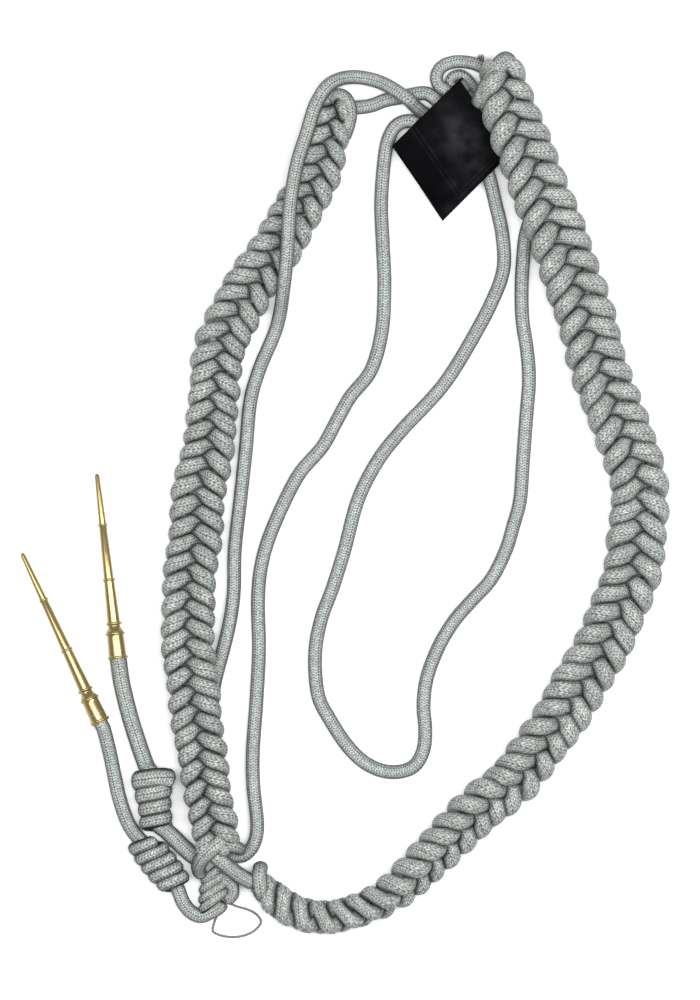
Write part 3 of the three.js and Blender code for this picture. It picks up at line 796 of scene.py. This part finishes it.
REAR_STATIONS = [
    (-0.0316, 0.1564, 0.0, 0.0039, -8), (-0.0338, 0.1478, 0.0, 0.0052, -9),
    (-0.0358, 0.1386, 0.0, 0.0062, -9), (-0.0396, 0.1278, 0.0, 0.0070, -9),
    (-0.0470, 0.1122, 0.0, 0.0072, -9), (-0.0550, 0.0990, 0.0, 0.0075, -9),
    (-0.0654, 0.0830, 0.0, 0.0075, -9), (-0.0740, 0.0686, 0.0, 0.0077, -8),
    (-0.0788, 0.0554, 0.0, 0.0076, -6), (-0.0806, 0.0406, 0.0, 0.0072, -4),
    (-0.0822, 0.0220, 0.0, 0.0074, -2), (-0.0860, 0.0042, 0.0, 0.0080, 0),
    (-0.0880, -0.0150, 0.0, 0.0080, 0), (-0.0902, -0.0346, 0.0004, 0.0078, 2),
    (-0.0912, -0.0494, 0.0036, 0.0078, 4), (-0.0904, -0.0634, 0.0060, 0.0078, 5),
    (-0.0888, -0.0804, 0.0062, 0.0077, 6), (-0.0858, -0.1014, 0.0062, 0.0072, 8),
    (-0.0828, -0.1214, 0.0062, 0.0066, 9), (-0.0800, -0.1362, 0.0062, 0.0066, 9),
    (-0.0782, -0.1450, 0.0062, 0.0052, 9),
]
# strand and swing are the solid plait's own sizes, and first and last the length of a turn at its
# two ends. wide and thick are the halves of a strand's flattened section, rise is how far its
# centre climbs over its neighbour, and drawn_in is how much the lower end is drawn in.
FRONT = {"strand": 0.0036, "swing": 0.0033, "first": 0.0282, "last": 0.0245,
         "wide": 0.0037, "thick": 0.0031, "rise": 0.0038, "drawn_in": 0.45}
REAR = {"strand": 0.00315, "swing": 0.0029, "first": 0.0250, "last": 0.0218,
        "wide": 0.0032, "thick": 0.0027, "rise": 0.0033, "drawn_in": 0.0}
STRANDS = 3
PLAIT_STEP = 0.2 * MM
# A strand is round where the plait sways less than the first number and flat past the second.
FLAT_SWAY = (0.004, 0.007)
# Length over which a plait is drawn in at its lower end.
DRAWN_LENGTH = 12 * MM
# Unevenness of the strands: waves to a turn, and how far they shift, sway and widen a strand.
UNEVEN = ((0.37, 0.16), (0.23, 0.045), (0.53, 0.07))
UNEVEN_OFFSET = 2.1
# Distance from a neighbour's surface where a strand's painted shade is darkest, and where that shade ends.
CREVICE_SHADE_REACH = (-0.3 * MM, 2.6 * MM)


# Tallest point of a strand's centre over the plait's own centre, at each turn and sway. A turn of
# the plait is tried every five degrees.
def tallest(sway, swing, turn):
    phase = np.radians(np.arange(0, 360, 5))[:, None]
    return np.max(swing * np.sin(2 * phase) * np.cos(turn) + sway * np.sin(phase) * np.sin(turn), axis=0)


# Three strands that pass over and under one another. Across the plait a strand swings once a turn,
# and it rises and sinks twice.
def plait_strands(name, node, stations, sizes):
    places = [row[:2] for row in stations]
    dense = spline(places, PLAIT_STEP)
    # the columns that aren't places are read off at the same share of the stations
    table = np.array(stations, float)
    counted = even_places(places, len(dense))
    lift, sway, turn = (np.interp(counted, np.arange(len(table)), table[:, i]) for i in (2, 3, 4))
    turn = np.radians(turn)
    along = lengths_along(dense)
    rate = 1 / sizes["first"]
    gain = (1 / sizes["last"] - rate) / (2 * along[-1])
    turns = along * (rate + gain * along)
    heading = unit(np.gradient(dense, axis=0))
    middle = lift + sizes["strand"] + tallest(sway, sizes["swing"], turn)
    thick, rise = sizes["thick"], sizes["rise"]
    flat = np.clip((sway - FLAT_SWAY[0]) / (FLAT_SWAY[1] - FLAT_SWAY[0]), 0, 1)
    wide = thick + (sizes["wide"] - thick) * flat
    ribs = ribs_round(sizes["wide"], thick)
    drawn = 1 - sizes["drawn_in"] * smoothstep(along, along[-1] - DRAWN_LENGTH, along[-1])
    strands = []
    for number in range(STRANDS):
        late, far, full = (
            size * np.sin(2 * math.pi * waves * turns + UNEVEN_OFFSET * number) for waves, size in UNEVEN
        )
        phase = 2 * math.pi * (turns + number / STRANDS) + late
        reach = (sway + sizes["strand"] - thick) * (1 + far)
        across = reach * drawn * np.sin(phase)
        above = rise * drawn * np.sin(2 * phase)
        line = turned_place(dense, heading, middle, across, above, turn)
        out_across = -2 * rise * np.cos(2 * phase)
        out_above = reach * np.cos(phase)
        out = turned_place(dense * 0, heading, 0, out_across, out_above, turn)
        strands.append(evenly(np.column_stack([line, unit(out), wide * (1 + full)]), STITCH / 2))
    for number, strand in enumerate(strands):
        mesh = braided_sleeve(strand[:, :3], strand[:, 3:6], strand[:, 6], thick, ribs)
        others = np.vstack([line[:, :3] for line in strands if line is not strand])
        # Painted shade where the strands of the plait meet.
        paint_crevice_shade(mesh, others, thick)
        finish_mesh(f"{name}_strand_{number + 1}", mesh, "silver_cord", PLAIT_SILVER, node)


# Paints shade on each point of a strand by how close it lies to the centrelines of its neighbours.
def paint_crevice_shade(mesh, centres, thick):
    tree = KDTree(len(centres))
    for i, centre in enumerate(centres):
        tree.insert(centre, i)
    tree.balance()
    mark_shade_and_tarnish(mesh, lambda vert: 1 - smoothstep(tree.find(vert.co)[2] - thick, *CREVICE_SHADE_REACH))


# Point beside and above the plait's centreline, turned about its length.
def turned_place(centre, heading, middle, across, above, turn):
    side = across * np.cos(turn) - above * np.sin(turn)
    rise = across * np.sin(turn) + above * np.cos(turn)
    return np.column_stack([
        centre[:, 0] - side * heading[:, 1],
        centre[:, 1] + side * heading[:, 0],
        middle + rise,
    ])


plait_strands("front", "front_plait", FRONT_STATIONS, FRONT)
plait_strands("rear", "rear_plait", REAR_STATIONS, REAR)


# Strands that fold over the ends of the plaits: the node, the halves of the flattened section, then
# x, y and height of the centreline.
TURNED_STRANDS = {
    "front_top_fold": ("front_plait", 0.0037, 0.0031, [
        (0.0250, 0.1535, 0.0120), (0.0267, 0.1578, 0.0158), (0.0294, 0.1630, 0.0176),
        (0.0326, 0.1684, 0.0180), (0.0352, 0.1716, 0.0166), (0.0368, 0.1724, 0.0130),
        (0.0374, 0.1706, 0.0100),
    ]),
    "front_end_wrap": ("front_plait", 0.0030, 0.0024, [
        (-0.0618, -0.1508, 0.0036), (-0.0621, -0.1504, 0.0072), (-0.0624, -0.1530, 0.0100),
        (-0.0623, -0.1562, 0.0106), (-0.0619, -0.1594, 0.0100), (-0.0613, -0.1618, 0.0072),
        (-0.0611, -0.1612, 0.0036),
    ]),
    "rear_top_arch": ("rear_plait", 0.0027, 0.0023, [
        (-0.0352, 0.1540, 0.0050), (-0.0337, 0.1575, 0.0066), (-0.0308, 0.1590, 0.0078),
        (-0.0278, 0.1574, 0.0084), (-0.0262, 0.1538, 0.0086), (-0.0260, 0.1500, 0.0084),
        (-0.0270, 0.1456, 0.0076), (-0.0288, 0.1408, 0.0056),
    ]),
    "rear_end_fold": ("rear_plait", 0.0032, 0.0027, [
        (-0.0752, -0.1360, 0.0140), (-0.0776, -0.1392, 0.0156), (-0.0812, -0.1424, 0.0160),
        (-0.0846, -0.1456, 0.0142), (-0.0866, -0.1490, 0.0108), (-0.0866, -0.1520, 0.0074),
        (-0.0850, -0.1540, 0.0052),
    ]),
    "rear_end_limb": ("rear_plait", 0.0026, 0.0025, [
        (-0.0792, -0.1400, 0.0120), (-0.0762, -0.1408, 0.0146), (-0.0728, -0.1416, 0.0143),
        (-0.0704, -0.1427, 0.0120), (-0.0704, -0.1444, 0.0094),
    ]),
}


# A folded strand faces away from a point this far under the middle of its line.
FOLD_DEPTH = np.array([0, 0, 6 * MM])
FOLD_CAP = 0.9


def turned_strands():
    for name, (node, wide, thick, route) in TURNED_STRANDS.items():
        line = spline(route, STITCH / 2)
        normals = line - (np.mean(line, axis=0) - FOLD_DEPTH)
        ribs = ribs_round(wide, thick)
        mesh = braided_sleeve(line, normals, wide, thick, ribs, cap=FOLD_CAP, shade=SIDE_SHADE)
        finish_mesh(name, mesh, "silver_cord", PLAIT_SILVER, node)


def joint_pieces():
    laid_cord("joint_cord_braid", JOINT_ROUTE, JOINT_CORD, PLAIT_SILVER, ("joint_cord",))
    wound_knot("joint_knot_wraps", "joint_knot", JOINT_KNOT, PLAIT_SILVER)
    laid_cord("joint_stub_braid", STUB_ROUTE, STUB_CORD, PLAIT_SILVER, ("joint_stub",))


turned_strands()
joint_pieces()

# Shoulder tab: corners of a slanted square of folded cloth. Across runs from its top corner to the
# right one and down from the top to the left, both as shares of the side.
TAB_TOP = np.array([0.0186, 0.1658])
TAB_LEFT = np.array([-0.0094, 0.1382])
TAB_RIGHT = np.array([0.0390, 0.1362])
TAB_ACROSS = TAB_RIGHT - TAB_TOP
TAB_DOWN = TAB_LEFT - TAB_TOP
TAB_THICKNESS = 0.0024
TAB_UNDERSIDE = 0.0080
TAB_SOFTENING = 0.7 * MM
TAB_CREASE = math.radians(50)
LOWER_CORNER_DROP = 0.0077
RIGHT_CORNER_DROP = 0.0030
TAB_CELLS = 72
# Seams of the flap and of the right edge: their places, widths and depths. The right seam fades in
# between two shares down, and the flap stands a step higher past its seam.
FLAP_SEAM = 0.717
RIGHT_SEAM = 0.925
SEAM_WIDTH = 0.012
SEAM_END = 0.01
FLAP_SEAM_DEPTH = 0.32 * MM
RIGHT_SEAM_DEPTH = 0.28 * MM
RIGHT_SEAM_FADE = (0.3, 0.4)
FLAP_STEP = 0.22 * MM
STEP_WIDTH = 0.02
DENT_DEPTH = 0.28 * MM
# Stitches: first place and spacing along each seam, and the half length, as shares of a side. Each
# is a small ball drawn out to several times its radius.
FLAP_STITCHES = (0.08, 0.062)
RIGHT_STITCHES = (0.36, 0.058)
STITCH_HALF = 0.02
STITCH_RADIUS = 0.16 * MM
STITCH_STRETCH = 5
# Painted sheen: across, down, reach each way and strength of each spot. Beside each seam runs a
# painted highlight.
SHEEN_SPOTS = [(0.42, 0.36, 0.3, 0.22, 1.0), (0.8, 0.45, 0.12, 0.3, 0.55), (0.97, 0.85, 0.08, 0.3, 0.5)]
HIGHLIGHT_AWAY, HIGHLIGHT_WIDTH, HIGHLIGHT_STRENGTH = 0.022, 0.009, 0.6
# Lining: where it fades down and at its two ends across, and the middle, width and depth of a gap.
LINING_DOWN = (0.04, 0.025)
LINING_ENDS = ((0.47, 0.44), (0.02, 0.05))
LINING_GAP = (0.17, 0.02)
GAP_DEPTH = 0.8


# Bell-shaped rise that is 1 at its middle.
def bell(value, middle, width):
    return np.exp(-(((value - middle) / width) ** 2))


# Place of the cloth's upper face at shares of its two sides.
def tab_surface(across, down):
    place = TAB_TOP + across[:, None] * TAB_ACROSS + down[:, None] * TAB_DOWN
    height = TAB_UNDERSIDE + TAB_THICKNESS - LOWER_CORNER_DROP * smoothstep(across + down, 1.45, 2)
    height -= RIGHT_CORNER_DROP * smoothstep(across - down, 0.6, 1)
    seam = bell(down, FLAP_SEAM, SEAM_WIDTH) * smoothstep(RIGHT_SEAM + SEAM_END - across, 0, STEP_WIDTH)
    edge = bell(across, RIGHT_SEAM, SEAM_WIDTH) * smoothstep(FLAP_SEAM + SEAM_END - down, 0, STEP_WIDTH)
    edge *= smoothstep(down, *RIGHT_SEAM_FADE)
    height -= FLAP_SEAM_DEPTH * seam + RIGHT_SEAM_DEPTH * edge
    height += FLAP_STEP * smoothstep(down, FLAP_SEAM, FLAP_SEAM + STEP_WIDTH)
    dents = np.sin(5.1 * across + 2.0) * np.sin(6.3 * down + 0.7)
    dents = dents + 0.6 * np.sin(9.7 * across - 7.9 * down)
    calm_sides = smoothstep(np.minimum(across, 1 - across), 0, 0.2)
    height += DENT_DEPTH * dents * calm_sides * smoothstep(1 - down, 0, 0.3)
    return np.column_stack([place, height])


def shoulder_tab():
    shape = bmesh.new()
    bmesh.ops.create_grid(shape, x_segments=TAB_CELLS, y_segments=TAB_CELLS, size=0.5)
    shares = np.array([(v.co.x + 0.5, 0.5 - v.co.y) for v in shape.verts])
    width, length = np.linalg.norm(TAB_ACROSS), np.linalg.norm(TAB_DOWN)
    rim = np.min(np.column_stack([shares, 1 - shares]), axis=1) * width
    fall = TAB_SOFTENING * (1 - np.sqrt(1 - np.clip(1 - rim / TAB_SOFTENING, 0, 1) ** 2))
    upper = tab_surface(shares[:, 0], shares[:, 1]) - np.outer(fall, UP)
    for vert, place in zip(shape.verts, upper):
        vert.co = place
    walls = bmesh.ops.extrude_face_region(shape, geom=list(shape.faces))
    lower = [part for part in walls["geom"] if isinstance(part, bmesh.types.BMVert)]
    bmesh.ops.translate(shape, verts=lower, vec=(0, 0, -(TAB_THICKNESS - 0.5 * TAB_SOFTENING)))
    bmesh.ops.recalc_face_normals(shape, faces=shape.faces)
    mesh = mesh_from(shape, "shoulder_tab_cloth")
    mark_tab(mesh)
    mesh.set_sharp_from_angle(angle=TAB_CREASE)
    tab = finish_mesh("shoulder_tab_cloth", mesh, "black_cloth", CLOTH, "shoulder_tab")
    stitches = tab_stitches()


# The middle of the tab gets a painted sheen, and its grey lining shows along the upper right edge.
def mark_tab(mesh):
    sides = np.linalg.inv(np.column_stack([TAB_ACROSS, TAB_DOWN]))
    shares = np.array([sides @ (np.array(vert.co)[:2] - TAB_TOP) for vert in mesh.vertices])
    across, down = shares[:, 0], shares[:, 1]
    painted_sheen = np.zeros(len(shares))
    for x, y, wide, deep, strength in SHEEN_SPOTS:
        spot = np.exp(-(((across - x) / wide) ** 2) - ((down - y) / deep) ** 2)
        painted_sheen = np.maximum(painted_sheen, strength * spot)
    seams = ((down, FLAP_SEAM, across, RIGHT_SEAM), (across, RIGHT_SEAM, down, FLAP_SEAM))
    # Painted highlight beside each seam.
    for place, seam, along, far in seams:
        seam_highlight = bell(np.abs(place - seam), HIGHLIGHT_AWAY, HIGHLIGHT_WIDTH)
        painted_sheen = np.maximum(painted_sheen, HIGHLIGHT_STRENGTH * seam_highlight * smoothstep(along, far, far - STEP_WIDTH))
    lining = smoothstep(down, *LINING_DOWN)
    for fade in LINING_ENDS:
        lining = lining * smoothstep(across, *fade)
    lining *= 1 - GAP_DEPTH * bell(across, *LINING_GAP)
    for name, values in (("painted_sheen", painted_sheen), ("lining", lining)):
        mesh.attributes.new(name, "FLOAT", "POINT").data.foreach_set("value", values)


# Black stitches along the two seams of the tab.
def tab_stitches():
    flap = np.arange(FLAP_STITCHES[0], RIGHT_SEAM, FLAP_STITCHES[1])
    right = np.arange(RIGHT_STITCHES[0], FLAP_SEAM, RIGHT_STITCHES[1])
    spots = [(share, FLAP_SEAM, STITCH_HALF, 0) for share in flap]
    spots += [(RIGHT_SEAM, share, 0, STITCH_HALF) for share in right]
    shape = bmesh.new()
    for across, down, half_across, half_down in spots:
        ends = tab_surface(np.array([across - half_across, across + half_across]),
                           np.array([down - half_down, down + half_down]))
        made = bmesh.ops.create_uvsphere(shape, u_segments=8, v_segments=6, radius=STITCH_RADIUS)
        lie = Vector(ends[1] - ends[0]).to_track_quat("Z", "Y").to_matrix().to_4x4()
        middle = Matrix.Translation(Vector((ends[0] + ends[1]) / 2))
        stretch = Matrix.Diagonal((1, 1, STITCH_STRETCH, 1))
        bmesh.ops.transform(shape, matrix=middle @ lie @ stretch, verts=made["verts"])
    return finish_mesh("tab_stitches", mesh_from(shape, "tab_stitches"), "black_cloth", CLOTH)


# Cut thread ends where a cord is sewn in at the top: how many, the seed of their random draws,
# their middle, the radii of their ends, and the ranges of length, leans and places.
FIBRES = 26
FIBRE_SEED = 4
FIBRE_MIDDLE = (0.0262, 0.1735, 0.0058)
FIBRE_RADII = (0.14 * MM, 0.05 * MM)
FIBRE_LENGTH = (2.2, 3.6)
SIDE_LEAN = (-0.7, 0.7)
UP_LEAN = (-1.7, -1.1)
FIBRE_SPREAD = ((-1.3, 1.3), (-0.3, 0.3), (-1.0, 1.4))


def cut_fibres():
    rng = random.Random(FIBRE_SEED)
    shape = bmesh.new()
    for _ in range(FIBRES):
        made = bmesh.ops.create_cone(shape, cap_ends=True, segments=5, radius1=FIBRE_RADII[0],
                                     radius2=FIBRE_RADII[1], depth=rng.uniform(*FIBRE_LENGTH) * MM)
        lean = Matrix.Rotation(rng.uniform(*SIDE_LEAN), 4, "Y")
        lean = lean @ Matrix.Rotation(rng.uniform(*UP_LEAN), 4, "X")
        spot = [middle + rng.uniform(*limits) * MM for middle, limits in zip(FIBRE_MIDDLE, FIBRE_SPREAD)]
        bmesh.ops.transform(shape, matrix=Matrix.Translation(Vector(spot)) @ lean, verts=made["verts"])
    finish_mesh("cut_fibres", mesh_from(shape, "cut_fibres", smooth=False), "grey_thread", THREAD_GREY)


shoulder_tab()
cut_fibres()

# Table top, and a softbox on either side, of which the right one is brighter.
TABLE_HALF = 3.0
SOFTBOX_SIZE = (0.55, 1.5)
SOFTBOX_AWAY = 0.42
SOFTBOX_PLACE = (0.05, 1.45)
SOFTBOX_POWER = 26
POWER_DIFFERENCE = 5
WORLD_STRENGTH = 0.26


def studio():
    shape = bmesh.new()
    bmesh.ops.create_grid(shape, x_segments=2, y_segments=2, size=TABLE_HALF)
    mesh = mesh_from(shape, "table_top", smooth=False)
    floor = add_object("table_top", mesh)
    mesh.materials.append(new_material("pale table top", Roughness=0.9, Base_Color=TABLE_TOP)[0])
    for side in (-1, 1):
        data = bpy.data.lights.new("softbox", "AREA")
        data.shape = "RECTANGLE"
        data.size, data.size_y = SOFTBOX_SIZE
        data.energy = SOFTBOX_POWER + POWER_DIFFERENCE * side
        lamp = add_object("softbox", data)
        lamp.location = (side * SOFTBOX_AWAY, *SOFTBOX_PLACE)
        lamp.rotation_mode = "QUATERNION"
        lamp.rotation_quaternion = (-lamp.location).to_track_quat("-Z", "Y")
        lamp.visible_camera = False
    world = bpy.data.worlds.new("studio")
    world.use_nodes = True
    backdrop = world.node_tree.nodes["Background"].inputs
    backdrop["Color"].default_value = (1, 1, 1, 1)
    backdrop["Strength"].default_value = WORLD_STRENGTH
    bpy.context.scene.world = world
    bpy.context.scene.view_settings.view_transform = "Standard"


studio()
